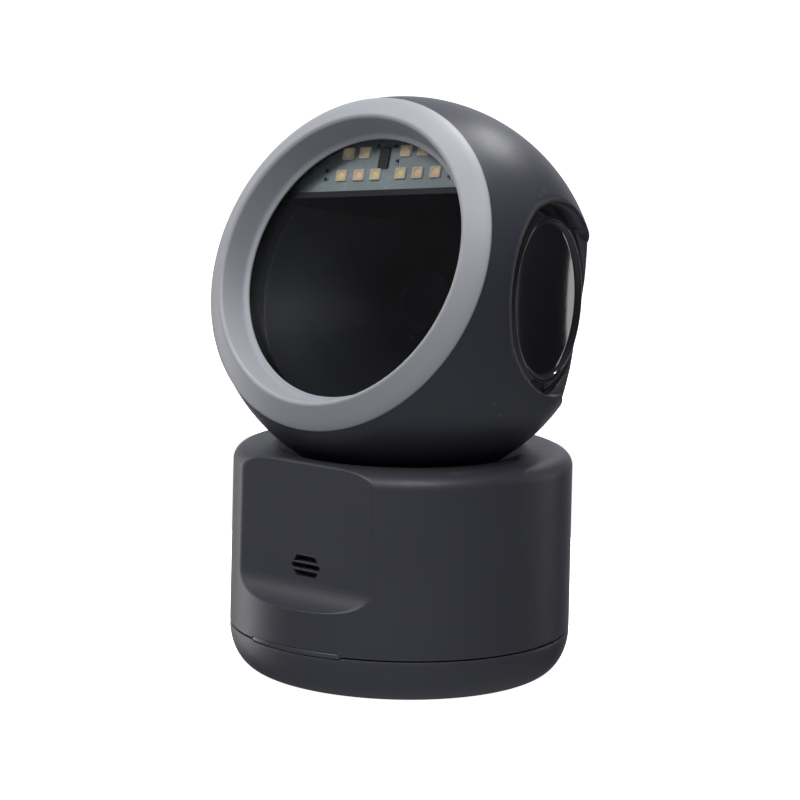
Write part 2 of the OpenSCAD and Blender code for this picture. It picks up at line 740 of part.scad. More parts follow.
base_upper_shell();
base_lower_cover();
status_light_pipe();
status_led_board();
anti_slip_pad();
counterweight_plate();
base_screws();
bottom_label();
base_circuit_board();
board_fixings();
base_processor();
harness_socket();
host_port();
port_contacts();
buzzer();
glide_ring();
swivel_housing();
swivel_bushing();
housing_screws();
neck_stem();
stem_clip();
wave_washer();
swivel_stop();
stem_harness();
clamp_washer();
clamp_spring();
clamp_nut();
clamp_dish();
head_shell();
head_rear_cover();
rear_cover_screws();
bezel_ring();
window_pane();
window_gasket();
light_hood();
illumination_board();
illumination_leds();
presence_sensor();
hood_chassis();
chassis_screws();
camera_body();
lens_barrel();
lens_glass();
camera_standoffs();
decoder_board();
decoder_shield();
board_screws();
side_cap_right();
side_cap_left();
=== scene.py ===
import bpy
import bmesh
import json
import math
import numpy as np
from mathutils import Matrix, Vector


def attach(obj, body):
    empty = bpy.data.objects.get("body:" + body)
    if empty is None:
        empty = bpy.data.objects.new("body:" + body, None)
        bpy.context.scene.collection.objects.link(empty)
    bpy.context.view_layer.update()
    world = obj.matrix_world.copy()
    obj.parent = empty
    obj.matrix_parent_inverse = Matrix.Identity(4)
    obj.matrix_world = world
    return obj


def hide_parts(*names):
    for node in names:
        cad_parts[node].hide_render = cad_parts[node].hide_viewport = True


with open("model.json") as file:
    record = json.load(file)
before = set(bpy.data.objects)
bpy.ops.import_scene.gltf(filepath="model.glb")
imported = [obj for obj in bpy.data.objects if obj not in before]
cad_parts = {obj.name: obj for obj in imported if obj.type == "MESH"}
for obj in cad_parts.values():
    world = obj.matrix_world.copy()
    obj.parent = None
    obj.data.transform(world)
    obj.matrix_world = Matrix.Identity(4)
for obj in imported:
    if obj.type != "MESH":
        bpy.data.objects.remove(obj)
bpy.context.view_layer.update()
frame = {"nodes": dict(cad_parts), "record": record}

# Everything below is laid out in millimetres in the CAD frame and scaled to metres when a mesh is made.
MM = 0.001

# Head: a ball with a flattened belt, a mouth in front, a pocket on each side and a rear cover
BALL = (0.0, -1.3, 97.9)
BALL_R = 49.47
NOSE_UP = math.radians(21.3)
ROLL = math.radians(5.8)
CAP_BACK = math.radians(11)
POCKET_R = 24.0
CAP_FLOOR = 38.3
PATCH_R = 33.0
BELT_R = 45.6
BELT_CROWN = 320
BELT_HALF = 21.2
FACET_H = 39.6
MOUTH_H = 24.2
REAR_Y = 28.0
SEAM_GAP = 0.07
STEM_SLOT_R = 15.2
STEM_SLOT_RUN = 4.1
REAR_SCREW = (20, 30)
REAR_SCREW_R = 3.0

# Base: a drafted drum with a bowl for the ball, a flat panel in front and a ledge scooped under it
BASE_R = 44.0
BASE_IN_R = 41.8
DRAFT = 0.35
DRAFT_RUN = 42
SEAM_Z = 11.9
RIM_Z = 58.2
BOWL_R = 50.9
BOWL_BACK_R = 53.1
BOWL_LIP_R = 3.2
PANEL_Y = 38.0
LEDGE_TOP = 29
LEDGE_DROP = 7
LEDGE_OUT = 7.5
BAR_HALF = 18.8
BAR_MID = 0.9
BAR_Z = 11.95
BAR_HALF_H = 0.65

# Lighting board: its face, the lamps' places and sizes
BOARD_FACE = 14.9 + 1.2
LAMP_ROWS = ((1.4, 25.9, (4, 9.3, 14.9)), (-0.6, 31.8, (6.5, 11.9)))
LAMP_SIZE = (3.3, 3.0)
LAMP_H = 0.58
WELL_R = 1.12
DOME_R = 0.97

WORLD = Matrix.Identity(4)
HEAD = Matrix.Translation(BALL) @ Matrix.Rotation(-NOSE_UP, 4, "X") @ Matrix.Rotation(-ROLL, 4, "Y")
# Local +Z along the nose, for turned parts
NOSE = HEAD @ Matrix.Rotation(math.radians(90), 4, "X")


def move(x, y, z):
    return Matrix.Translation((x, y, z))


def turn(axis, degrees):
    return Matrix.Rotation(math.radians(degrees), 4, axis)


def cap_turn(side):
    return Matrix.Rotation(CAP_BACK if side > 0 else math.pi - CAP_BACK, 4, "Z")


def cap_matrix(side):
    """Local +Z along a side cap's axis."""
    return HEAD @ cap_turn(side) @ turn("Y", 90)


# ---------------------------------------------------------------- mesh helpers

def as_object(name, verts, faces, place=WORLD, sharp=None):
    """A mesh object from millimetre points, placed in the row frame."""
    v = np.asarray(verts, float)
    m = np.array(place)
    v = (v @ m[:3, :3].T + m[:3, 3]) * MM
    mesh = bpy.data.meshes.new(name)
    mesh.from_pydata(v.tolist(), [], faces)
    mesh.validate()
    mesh.polygons.foreach_set("use_smooth", [True] * len(mesh.polygons))
    if sharp is not None:
        mesh.set_sharp_from_angle(angle=math.radians(sharp))
    mesh.update()
    obj = bpy.data.objects.new(name, mesh)
    bpy.context.collection.objects.link(obj)
    return obj


def shade_smooth(obj, sharp):
    obj.data.polygons.foreach_set("use_smooth", [True] * len(obj.data.polygons))
    obj.data.set_sharp_from_angle(angle=math.radians(sharp))


def circle(n):
    """Cosine and sine of n equal steps round a full turn."""
    return [(math.cos(2 * math.pi * i / n), math.sin(2 * math.pi * i / n)) for i in range(n)]


def band(low, high, n):
    """Quads between two closed rings of n points, given by their first points' numbers."""
    return [(low + i, low + (i + 1) % n, high + (i + 1) % n, high + i) for i in range(n)]


def arc(cx, cy, rx, ry, a0, a1, n=10):
    """Points along an arc, with the angles in degrees."""
    return [(cx + rx * math.cos(math.radians(a0 + (a1 - a0) * i / n)),
             cy + ry * math.sin(math.radians(a0 + (a1 - a0) * i / n))) for i in range(n + 1)]


def rounded(points, radii, n=5):
    """A closed outline with its corners rounded; a radius of 0 keeps a corner sharp."""
    out = []
    count = len(points)
    for i in range(count):
        p = np.array(points[i], float)
        r = radii[i] if isinstance(radii, (list, tuple)) else radii
        if r <= 0:
            out.append(tuple(p))
            continue
        a = np.array(points[i - 1], float) - p
        b = np.array(points[(i + 1) % count], float) - p
        la, lb = np.linalg.norm(a), np.linalg.norm(b)
        cut = min(r, la * 0.45, lb * 0.45)
        s, e = p + a / la * cut, p + b / lb * cut
        for k in range(n + 1):
            t = k / n
            out.append(tuple((1 - t) ** 2 * s + 2 * t * (1 - t) * p + t * t * e))
    return out


def turned(name, outline, place=WORLD, n=256, sharp=34, closed=True):
    """A turned piece: an outline of (radius, height) round the local Z axis."""
    verts, faces, rings = [], [], []
    for r, h in outline:
        if r < 1e-6:
            rings.append([len(verts)])
            verts.append((0, 0, h))
        else:
            rings.append(list(range(len(verts), len(verts) + n)))
            verts += [(r * c, r * s, h) for c, s in circle(n)]
    last = len(rings) if closed else len(rings) - 1
    for k in range(last):
        a, b = rings[k], rings[(k + 1) % len(rings)]
        if len(a) == 1 and len(b) == 1:
            continue
        if len(a) == 1:
            faces += [(a[0], b[(i + 1) % n], b[i]) for i in range(n)]
        elif len(b) == 1:
            faces += [(a[i], a[(i + 1) % n], b[0]) for i in range(n)]
        else:
            faces += band(a[0], b[0], n)
    return as_object(name, verts, faces, place, sharp)


def fix_normals(obj):
    bm = bmesh.new()
    bm.from_mesh(obj.data)
    bmesh.ops.recalc_face_normals(bm, faces=bm.faces)
    bm.to_mesh(obj.data)
    bm.free()


def prism(outline, z0, z1):
    """Points and faces of a straight prism on an outline in X and Y."""
    n = len(outline)
    verts = [(x, y, z0) for x, y in outline] + [(x, y, z1) for x, y in outline]
    faces = [tuple(range(n - 1, -1, -1)), tuple(range(n, 2 * n))]
    faces += band(0, n, n)
    return verts, faces


def round_rect(w, h, r, n=6):
    out = []
    for cx, cy, a in ((w / 2 - r, h / 2 - r, 0), (-w / 2 + r, h / 2 - r, 90),
                      (-w / 2 + r, -h / 2 + r, 180), (w / 2 - r, -h / 2 + r, 270)):
        out += arc(cx, cy, r, r, a, a + 90, n)
    return out


def merge(parts):
    """Several (points, faces, matrix) sets as one."""
    verts, faces = [], []
    for v, f, m in parts:
        base = len(verts)
        mm = np.array(m)
        vv = np.asarray(v, float) @ mm[:3, :3].T + mm[:3, 3]
        verts += vv.tolist()
        faces += [tuple(base + i for i in q) for q in f]
    return verts, faces


def cut_with(obj, parts):
    """Cuts closed shapes out of a piece, then removes the cutter."""
    v, f = merge(parts)
    cutter = as_object("cutter", v, f)
    fix_normals(cutter)
    mod = obj.modifiers.new("cut", "BOOLEAN")
    mod.operation = "DIFFERENCE"
    mod.solver = "EXACT"
    mod.object = cutter
    dg = bpy.context.evaluated_depsgraph_get()
    mesh = bpy.data.meshes.new_from_object(obj.evaluated_get(dg), depsgraph=dg)
    obj.modifiers.clear()
    old = obj.data
    obj.data = mesh
    mesh.name = obj.name
    bpy.data.meshes.remove(old)
    mesh_c = cutter.data
    bpy.data.objects.remove(cutter)
    bpy.data.meshes.remove(mesh_c)


def circle_prism(r, z0, z1, n=48):
    return prism([(r * c, r * s) for c, s in circle(n)], z0, z1)


# ---------------------------------------------------------------- head skin

def smooth_max(a, b, k):
    h = np.clip(0.5 + 0.5 * (a - b) / k, 0, 1)
    return b * (1 - h) + a * h + k * h * (1 - h)


def head_field(p):
    """Below 0 inside the head's outer form, in the head's own frame."""
    x, y, z = p[..., 0], p[..., 1], p[..., 2]
    f = np.sqrt(x * x + y * y + z * z) - BALL_R
    c, s = math.cos(CAP_BACK), math.sin(CAP_BACK)
    fronts, facets = [], []
    for side in (1, -1):
        d = x * side * c + y * s
        t = x * side * s - y * c
        fronts.append(t)
        facets.append(np.maximum(np.maximum(FACET_H - d, np.abs(z) - BELT_HALF), t))
        rho = np.sqrt(t * t + z * z)
        pocket = np.maximum(rho - POCKET_R, CAP_FLOOR - d)
        soft = 0.35 + 3.6 * np.clip((t + 4) / 22, 0, 1) ** 1.5
        f = smooth_max(f, -pocket, soft)
    floor = BELT_R - z * z / BELT_CROWN
    belt = np.maximum(np.maximum(floor - np.sqrt(x * x + y * y), np.abs(z) - BELT_HALF),
                      np.maximum(fronts[0], fronts[1]))
    cut = np.minimum(belt, np.minimum(facets[0], facets[1]))
    return smooth_max(f, -cut, 0.8)


def field_normals(p):
    e = 0.02
    g = np.stack([head_field(p + np.array(d) * e) - head_field(p - np.array(d) * e)
                  for d in ((1, 0, 0), (0, 1, 0), (0, 0, 1))], -1)
    return g / np.maximum(np.linalg.norm(g, axis=-1, keepdims=True), 1e-9)


def ray_surface(start, along, near, far):
    """Distance along each ray, coming in from outside, at which the head's skin is met."""
    steps = 90
    hit = np.full(start.shape[:-1], float(near))
    prev = np.full_like(hit, float(far))
    done = np.zeros(hit.shape, bool)
    lo, hi = hit.copy(), prev.copy()
    for i in range(1, steps + 1):
        s = np.full_like(hit, far + (near - far) * i / steps)
        inside = head_field(start + along * s[..., None]) < 0
        new = inside & ~done
        lo[new], hi[new] = s[new], prev[new]
        done |= new
        prev = s
    for _ in range(26):
        mid = (lo + hi) / 2
        inside = head_field(start + along * mid[..., None]) < 0
        lo = np.where(inside, mid, lo)
        hi = np.where(inside, hi, mid)
    return (lo + hi) / 2


def head_ball():
    """The ball with its belt, on a latitude and longitude grid whose rows follow the belt's edges."""
    edge = math.degrees(math.atan2(BELT_HALF, 44.45))
    lats = set(np.arange(-89, 89.01, 1.25))
    for s in (1, -1):
        lats |= {s * (edge + d) for d in np.linspace(-0.9, 0.9, 19)}
    lats = sorted(lats)
    lats = [a for i, a in enumerate(lats) if i == 0 or a - lats[i - 1] > 0.02]
    lons = np.arange(0, 360, 1.25)
    la, lo = np.radians(np.meshgrid(lats, lons, indexing="ij"))
    d = np.stack([np.cos(la) * np.cos(lo), np.cos(la) * np.sin(lo), np.sin(la)], -1)
    r = ray_surface(np.zeros_like(d), d, 34, 51)
    p = (d * r[..., None]).reshape(-1, 3)
    rows, cols = la.shape
    verts = p.tolist() + [(0, 0, -BALL_R), (0, 0, BALL_R)]
    faces = []
    for i in range(rows - 1):
        faces += band(i * cols, (i + 1) * cols, cols)
    low, top = len(verts) - 2, len(verts) - 1
    for j in range(cols):
        k = (j + 1) % cols
        faces.append((low, k, j))
        faces.append((top, (rows - 1) * cols + j, (rows - 1) * cols + k))
    return verts, faces


def cap_patch(side):
    """The skin round a side cap, on a polar grid that follows the pocket's edge."""
    steps = ((22.2, 23.7, 4), (23.8, 24.5, 18), (24.58, 28, 30), (28.3, PATCH_R, 14))
    rhos = np.concatenate([np.linspace(*step) for step in steps])
    phis = np.radians(np.arange(0, 360, 0.6))
    rr, pp = np.meshgrid(rhos, phis, indexing="ij")
    c, s = math.cos(CAP_BACK), math.sin(CAP_BACK)
    axis = np.array([side * c, s, 0])
    front = np.array([side * s, -c, 0])
    start = (rr * np.cos(pp))[..., None] * front + (rr * np.sin(pp))[..., None] * np.array([0, 0, 1.0])
    d = ray_surface(start, np.broadcast_to(axis, start.shape), 30, 50)
    p = (start + axis * d[..., None]).reshape(-1, 3)
    rows, cols = rr.shape
    faces = []
    for i in range(rows - 1):
        for j in range(cols):
            k = (j + 1) % cols
            q = (i * cols + j, (i + 1) * cols + j, (i + 1) * cols + k, i * cols + k)
            faces.append(q[::-1] if side > 0 else q)
    return p.tolist(), faces


def by_rear_screw(p):
    x, z = REAR_SCREW
    reach = REAR_SCREW_R + 0.3
    return abs(abs(p[0]) - x) < reach and abs(p[2] - z) < reach and p[1] > 20


def cut_ball():
    """The ball with room for the cap patches, the stem's slot and the rear screws, whose walls stay."""
    ball = as_object("head_skin", *head_ball())
    fix_normals(ball)
    cutters = [(*circle_prism(PATCH_R, 30, 70, 600), cap_turn(side) @ turn("Y", 90)) for side in (1, -1)]
    slot = arc(0, STEM_SLOT_RUN, STEM_SLOT_R, STEM_SLOT_R, 0, 180, 24)
    slot += arc(0, -STEM_SLOT_RUN, STEM_SLOT_R, STEM_SLOT_R, 180, 360, 24)
    cutters.append((*prism(slot, -70, -38), turn("X", 20)))
    screw_x, screw_z = REAR_SCREW
    for x in (-screw_x, screw_x):
        cutters.append((*circle_prism(REAR_SCREW_R, -60, -30.2, 40), move(x, 0, screw_z) @ turn("X", 90)))
    cut_with(ball, cutters)
    bm = bmesh.new()
    bm.from_mesh(ball.data)
    gone = []
    for q in bm.faces:
        p = np.array(q.calc_center_median()) / MM
        if head_field(p[None])[0] < -0.12 and not by_rear_screw(p):
            gone.append(q)
    bmesh.ops.delete(bm, geom=gone, context="FACES")
    bm.to_mesh(ball.data)
    bm.free()
    return ball


def take_mesh(obj):
    """A piece's points in millimetres and its faces; the piece itself is removed."""
    mesh = obj.data
    verts = [tuple(c / MM for c in w.co) for w in mesh.vertices]
    faces = [tuple(q.vertices) for q in mesh.polygons]
    bpy.data.objects.remove(obj)
    bpy.data.meshes.remove(mesh)
    return verts, faces


def slice_off(bm, y, side):
    """Drops what lies past a plane across the nose, on the plane's + or - Y side."""
    geom = bm.verts[:] + bm.edges[:] + bm.faces[:]
    bmesh.ops.bisect_plane(bm, geom=geom, dist=1e-7, plane_co=(0, y * MM, 0), plane_no=(0, side, 0),
                           clear_outer=True)


def turn_in_seam(bm):
    """Turns the cut edges at the rear seam inwards, so the joint reads as two mouldings that meet."""
    plane, reach, inwards = REAR_Y * MM, 0.2 * MM, 0.975
    rim = [e for e in bm.edges if e.is_boundary and all(abs(w.co.y - plane) < reach for w in e.verts)]
    lip = bmesh.ops.extrude_edge_only(bm, edges=rim)
    for w in [g for g in lip["geom"] if isinstance(g, bmesh.types.BMVert)]:
        w.co.x *= inwards
        w.co.z *= inwards


def skin_normals(obj):
    """Normals of the smooth form on the skin, and the mesh's own where it is cut deeper."""
    p = np.array([w.co for w in obj.data.vertices]) / MM
    n = field_normals(p)
    deep = head_field(p) < -0.1
    bm = bmesh.new()
    bm.from_mesh(obj.data)
    bm.normal_update()
    own = np.array([w.normal[:] for w in bm.verts])
    bm.free()
    n[deep] = own[deep]
    return n


def head_moulding(name, skin, slices):
    """One moulding of the head: the whole skin with what lies past each slice dropped."""
    obj = as_object(name, *skin)
    bm = bmesh.new()
    bm.from_mesh(obj.data)
    for y, side in slices:
        slice_off(bm, y, side)
    turn_in_seam(bm)
    bm.to_mesh(obj.data)
    bm.free()
    obj.data.update()
    n = skin_normals(obj)
    obj.data.transform(Matrix.Scale(MM, 4) @ HEAD @ Matrix.Scale(1 / MM, 4))
    obj.data.polygons.foreach_set("use_smooth", [True] * len(obj.data.polygons))
    obj.data.normals_split_custom_set_from_vertices((n @ np.array(HEAD)[:3, :3].T).tolist())
    obj.data.update()
    return obj


def build_head():
    skin = merge([(*take_mesh(cut_ball()), WORLD)] + [(*cap_patch(side), WORLD) for side in (1, -1)])
    front = head_moulding("head_shell_skin", skin, ((-MOUTH_H, -1), (REAR_Y - SEAM_GAP, 1)))
    back = head_moulding("head_rear_skin", skin, ((REAR_Y + SEAM_GAP, -1),))
    return front, back


# ---------------------------------------------------------------- base skin

def panel_reach(z):
    """How far forward the front of the base reaches at a height: the flat panel and the scooped ledge."""
    clear, crown = 60.0, 0.8
    u = np.clip((LEDGE_TOP - z) / LEDGE_DROP, 0, 1)
    scoop = PANEL_Y + LEDGE_OUT - LEDGE_OUT * np.sqrt(np.maximum(1 - u * u, 0))
    top = np.clip(z - (RIM_Z - crown), 0, crown) / crown
    fillet = crown * (1 - np.sqrt(np.maximum(1 - top ** 2, 0)))
    return np.where(z >= LEDGE_TOP, PANEL_Y - fillet, np.where(z <= LEDGE_TOP - LEDGE_DROP, clear, scoop))


def slot_outlines():
    """The buzzer's three slots: one hexagon parted by two thin ribs."""
    def half(z):
        return 4.75 - 0.62 * abs(z)
    rows = []
    for z0, z1 in ((1.1, 2.75), (-0.75, 0.75), (-2.75, -1.1)):
        heights = (z0, 0, z1) if z0 < 0 < z1 else (z0, z1)
        right = [(half(z), z) for z in heights]
        left = [(-half(z), z) for z in reversed(heights)]
        rows.append(rounded(right + left, 0.22, 3))
    return rows


def wall_r(z):
    """The base's outside radius, with the mould's draft."""
    return BASE_R - DRAFT * (z - SEAM_Z) / DRAFT_RUN


def bowl_points(r, angles):
    """Points on a sphere round the ball's centre, by angle from straight down."""
    return [(r * math.sin(a), BALL[2] - r * math.cos(a), 1) for a in np.radians(angles)]


def base_profile():
    """The upper moulding's section as (radius, height, how far its centre follows the ball's), and where
    the inner wall begins: outside, rim, bowl, the bowl's back, inner wall."""
    outer = [(BASE_R - 0.25, 11.92, 0), (43.97, 12.1, 0), (BASE_R, 12.35, 0)]
    heights = list(np.linspace(12.8, 21.6, 16))
    heights += [LEDGE_TOP - LEDGE_DROP * math.sin(a) for a in np.radians(np.linspace(90, 0, 40))]
    heights += list(np.linspace(29.3, 54, 30))
    outer += [(wall_r(z), z, 0) for z in heights]
    outer += [(r, z, 0) for r, z in arc(38.45, 54.0, 5.2, 4.2, 4, 90, 26)]
    lip_r = math.sqrt((BOWL_R + BOWL_LIP_R) ** 2 - (BALL[2] - RIM_Z + BOWL_LIP_R) ** 2)
    lip_z = RIM_Z - BOWL_LIP_R
    stop = 90 + math.degrees(math.atan2(lip_r, BALL[2] - lip_z))
    outer += [(37.2, RIM_Z, 0), (36.2, RIM_Z, 0.5)]
    outer += [(r, z, 1) for r, z in arc(lip_r, lip_z, BOWL_LIP_R, BOWL_LIP_R, 90, stop, 12)]
    top = math.degrees(math.asin(lip_r / (BOWL_R + BOWL_LIP_R)))
    outer += bowl_points(BOWL_R, np.linspace(top - 1, 10.2, 36))
    outer += [(9.0, 47.6, 1), (9.0, 45.0, 1), (9.4, 44.8, 1), (19.0, 44.8, 1)]
    outer += bowl_points(BOWL_BACK_R, np.linspace(24, 40, 14))
    outer += [(38.5, 55.0, 0.5), (41.6, 53.0, 0), (BASE_IN_R, 50, 0)]
    inner_from = len(outer) - 3
    outer += [(BASE_IN_R, z, 0) for z in (40, 30, 24, 20.2, 19.6, 15, 12.2)] + [(42.0, 11.92, 0)]
    return np.array(outer), inner_from


def clip_to_panel(r, z, inner, angles):
    """Radii cut back, with a small fillet, to the front panel outside and to its back inside."""
    fillet, behind, behind_low, no_limit, steepest = 0.55, 35.8, 19.8, 200.0, 0.35
    ca = np.cos(angles)[None]
    facing = np.maximum(ca, steepest)
    back = np.where(z > behind_low, behind, 60)
    limit = np.where(ca > steepest, np.where(inner, back, panel_reach(z)) / facing, no_limit)
    h = np.clip(0.5 + 0.5 * (limit - r) / fillet, 0, 1)
    return limit * (1 - h) + r * h - fillet * h * (1 - h)


def build_base():
    """The upper moulding as one closed skin."""
    profile, inner_from = base_profile()
    angles = np.radians(np.concatenate([np.arange(-40, 40.01, 0.4), np.arange(42, 318.1, 2.0)]))
    cols = len(angles)
    r = np.repeat(profile[:, :1], cols, 1)
    z = np.repeat(profile[:, 1:2], cols, 1)
    shift = np.repeat(profile[:, 2:3], cols, 1) * BALL[1]
    inner = np.zeros_like(r, bool)
    inner[inner_from:] = True
    clipped = clip_to_panel(r, z, inner, angles)
    under = profile[:, 2] >= 1
    clipped[under] = r[under]
    x = clipped * np.sin(angles)[None]
    y = -clipped * np.cos(angles)[None] + shift
    verts = np.stack([x, y, z], -1).reshape(-1, 3)
    faces = []
    for i in range(len(profile)):
        faces += band(i * cols, (i + 1) % len(profile) * cols, cols)
    obj = as_object("base_upper_skin", verts.tolist(), faces)
    fix_normals(obj)
    cutters = [(*prism(outline, 33, 41), move(0.3, 0, 31.9) @ turn("X", 90)) for outline in slot_outlines()]
    cutters.append((*prism(round_rect(12, 8.2, 0.6), -48, -38), move(0, 0, 27.8) @ turn("X", 90)))
    cutters.append(bar_cutter())
    cut_with(obj, cutters)
    shade_smooth(obj, 38)
    return obj


def bar_shape(grow, r0, r1, proud=0.0):
    """The light pipe's bar, bent round the base, with rounded ends and edges."""
    n, end_run, end_drop, edge = 60, 0.45, 0.3, 0.14
    half, half_h = BAR_HALF + grow * 1.3, BAR_HALF_H + grow
    verts, faces = [], []
    for i in range(n + 1):
        u = BAR_MID - half + 2 * half * i / n
        h = half_h
        end = (half - abs(u - BAR_MID)) * BASE_R * math.pi / 180
        if end < end_run:
            h = half_h - end_drop + end_drop * math.sqrt(max(0, 1 - (1 - end / end_run) ** 2))
        ring = [(r0, -h), (r1 - edge, -h), (r1, -h + edge), (r1 + proud, 0),
                (r1, h - edge), (r1 - edge, h), (r0, h)]
        a = math.radians(u)
        verts += [(r * math.sin(a), -r * math.cos(a), BAR_Z + z) for r, z in ring]
    m = len(ring)
    for i in range(n):
        faces += band(i * m, (i + 1) * m, m)
    faces.append(tuple(range(m - 1, -1, -1)))
    faces.append(tuple(n * m + j for j in range(m)))
    return verts, faces


def bar_cutter():
    return (*bar_shape(0.14, 42.6, 46), WORLD)


def build_cover():
    """The lower moulding, with recesses for the pad, the screws and the label."""
    outline = [(0.0, 0.4), (20, 0.4), (34.0, 0.4), (36.4, 0.4)] + arc(36.4, 11.6, 7.6, 11.2, -90, -6, 26)[1:]
    outline += [(43.95, 11.2), (43.9, 11.45), (43.7, 11.58)]
    outline += [(BASE_IN_R, 11.6), (41.75, 14.1), (40.5, 14.1), (40.4, 11.5)]
    outline += [(39.6, 6.5), (36.4, 2.6), (0.0, 2.6)]
    obj = turned("base_cover_skin", outline, n=240, sharp=None, closed=False)
    fix_normals(obj)
    cutters = [bar_cutter(), (*circle_prism(25.6, -1, 1.25, 120), WORLD)]
    for x, y in ((30, 0), (-30, 0), (0, -30)):
        cutters.append((*circle_prism(3.0, -1, 2.2, 32), move(x, y, 0)))
    cutters.append((*prism(round_rect(24.4, 6.4, 1.2), -1, 0.65), move(0, 31.4, 0)))
    cut_with(obj, cutters)
    shade_smooth(obj, 34)
    return obj


# ---------------------------------------------------------------- materials

def new_material(name):
    m = bpy.data.materials.new(name)
    m.use_nodes = True
    t = m.node_tree
    t.nodes.clear()
    out = t.nodes.new("ShaderNodeOutputMaterial")
    b = t.nodes.new("ShaderNodeBsdfPrincipled")
    t.links.new(b.outputs["BSDF"], out.inputs["Surface"])
    return m, t, b


def principled(material):
    return [n for n in material.node_tree.nodes if n.type == "BSDF_PRINCIPLED"][0]


def node(t, kind, **values):
    """A node with its inputs or, where it has no such input, its settings given by name."""
    n = t.nodes.new(kind)
    for k, v in values.items():
        if k in n.inputs:
            n.inputs[k].default_value = v
        else:
            setattr(n, k, v)
    return n


def ramp(t, source, stops):
    """A colour ramp on a value, given as (position, colour) stops."""
    r = t.nodes.new("ShaderNodeValToRGB")
    e = r.color_ramp.elements
    e[0].position, e[0].color = stops[0][0], (*stops[0][1], 1)
    e[1].position, e[1].color = stops[-1][0], (*stops[-1][1], 1)
    for pos, col in stops[1:-1]:
        x = e.new(pos)
        x.color = (*col, 1)
    t.links.new(source, r.inputs["Fac"])
    return r.outputs["Color"]


def grey(a, b):
    return [(0.0, (a, a, a)), (1.0, (b, b, b))]


def texture(t, kind, scale, detail=4.0, rough=0.55, vector=None, **more):
    n = t.nodes.new(kind)
    n.inputs["Scale"].default_value = scale
    if "Detail" in n.inputs:
        n.inputs["Detail"].default_value = detail
    if "Roughness" in n.inputs:
        n.inputs["Roughness"].default_value = rough
    for k, v in more.items():
        setattr(n, k, v)
    t.links.new(vector, n.inputs["Vector"])
    return n


def moulded(name, low, high, rough=(0.42, 0.56), grain=2600, bump=0.12, specular=0.45, wear=0.0, coat=0.0,
            coat_rough=0.1, dust=0.0, metallic=0.0, stretch=None):
    """Moulded or machined finish: grain in the bump, drifting colour and gloss, paler worn edges, dust."""
    m, t, b = new_material(name)
    co = t.nodes.new("ShaderNodeTexCoord")
    vec = co.outputs["Object"]
    if stretch:
        mp = t.nodes.new("ShaderNodeMapping")
        mp.inputs["Scale"].default_value = stretch
        t.links.new(vec, mp.inputs["Vector"])
        vec = mp.outputs["Vector"]
    drift = texture(t, "ShaderNodeTexNoise", 22, 3, 0.5, vec)
    fine = texture(t, "ShaderNodeTexNoise", grain, 2, 0.6, vec)
    spots = texture(t, "ShaderNodeTexNoise", 1300, 5, 0.65, vec)
    colour = ramp(t, drift.outputs["Fac"], [(0.3, low), (0.72, high)])
    if wear > 0:
        geo = t.nodes.new("ShaderNodeNewGeometry")
        edge = ramp(t, geo.outputs["Pointiness"], [(0.515, (0, 0, 0)), (0.56, (1, 1, 1))])
        mixw = node(t, "ShaderNodeMix", data_type="RGBA")
        mul = node(t, "ShaderNodeMath", operation="MULTIPLY")
        t.links.new(edge, mul.inputs[0])
        mul.inputs[1].default_value = wear
        t.links.new(mul.outputs[0], mixw.inputs["Factor"])
        t.links.new(colour, mixw.inputs["A"])
        mixw.inputs["B"].default_value = (*[min(1, c * 2.6 + 0.03) for c in high], 1)
        colour = mixw.outputs["Result"]
    if dust > 0:
        speck = ramp(t, spots.outputs["Fac"], [(0.66, (0, 0, 0)), (0.74, (dust, dust, dust))])
        mixd = node(t, "ShaderNodeMix", data_type="RGBA")
        t.links.new(speck, mixd.inputs["Factor"])
        t.links.new(colour, mixd.inputs["A"])
        mixd.inputs["B"].default_value = (0.35, 0.35, 0.36, 1)
        colour = mixd.outputs["Result"]
    t.links.new(colour, b.inputs["Base Color"])
    rr = ramp(t, spots.outputs["Fac"], [(0.3, (rough[0],) * 3), (0.7, (rough[1],) * 3)])
    t.links.new(rr, b.inputs["Roughness"])
    bp = t.nodes.new("ShaderNodeBump")
    bp.inputs["Strength"].default_value = bump
    bp.inputs["Distance"].default_value = 0.0001
    t.links.new(fine.outputs["Fac"], bp.inputs["Height"])
    t.links.new(bp.outputs["Normal"], b.inputs["Normal"])
    b.inputs["Specular IOR Level"].default_value = specular
    b.inputs["Metallic"].default_value = metallic
    b.inputs["Coat Weight"].default_value = coat
    b.inputs["Coat Roughness"].default_value = coat_rough
    return m


def shade_painted_near(material, point, near, far):
    """Painted shade inside the hood: the finish turns darker and duller towards a point in the row frame
    (metres), standing in for the shade deep in the hood.
    """
    t = material.node_tree
    b = principled(material)
    co = t.nodes.new("ShaderNodeTexCoord")
    away = node(t, "ShaderNodeVectorMath", operation="DISTANCE")
    away.inputs[1].default_value = point
    t.links.new(co.outputs["Object"], away.inputs[0])
    fade = node(t, "ShaderNodeMapRange", **{"From Min": near, "From Max": far, "To Min": 0.06})
    t.links.new(away.outputs["Value"], fade.inputs["Value"])
    mix = node(t, "ShaderNodeMix", data_type="RGBA")
    t.links.new(fade.outputs["Result"], mix.inputs["Factor"])
    # Painted shade: near-black colour mixed in towards the lens
    mix.inputs["A"].default_value = (0.0005, 0.0005, 0.0007, 1)
    t.links.new(b.inputs["Base Color"].links[0].from_socket, mix.inputs["B"])
    t.links.new(mix.outputs["Result"], b.inputs["Base Color"])
    sheen = node(t, "ShaderNodeMath", operation="MULTIPLY")
    t.links.new(fade.outputs["Result"], sheen.inputs[0])
    sheen.inputs[1].default_value = 0.35
    t.links.new(sheen.outputs[0], b.inputs["Specular IOR Level"])


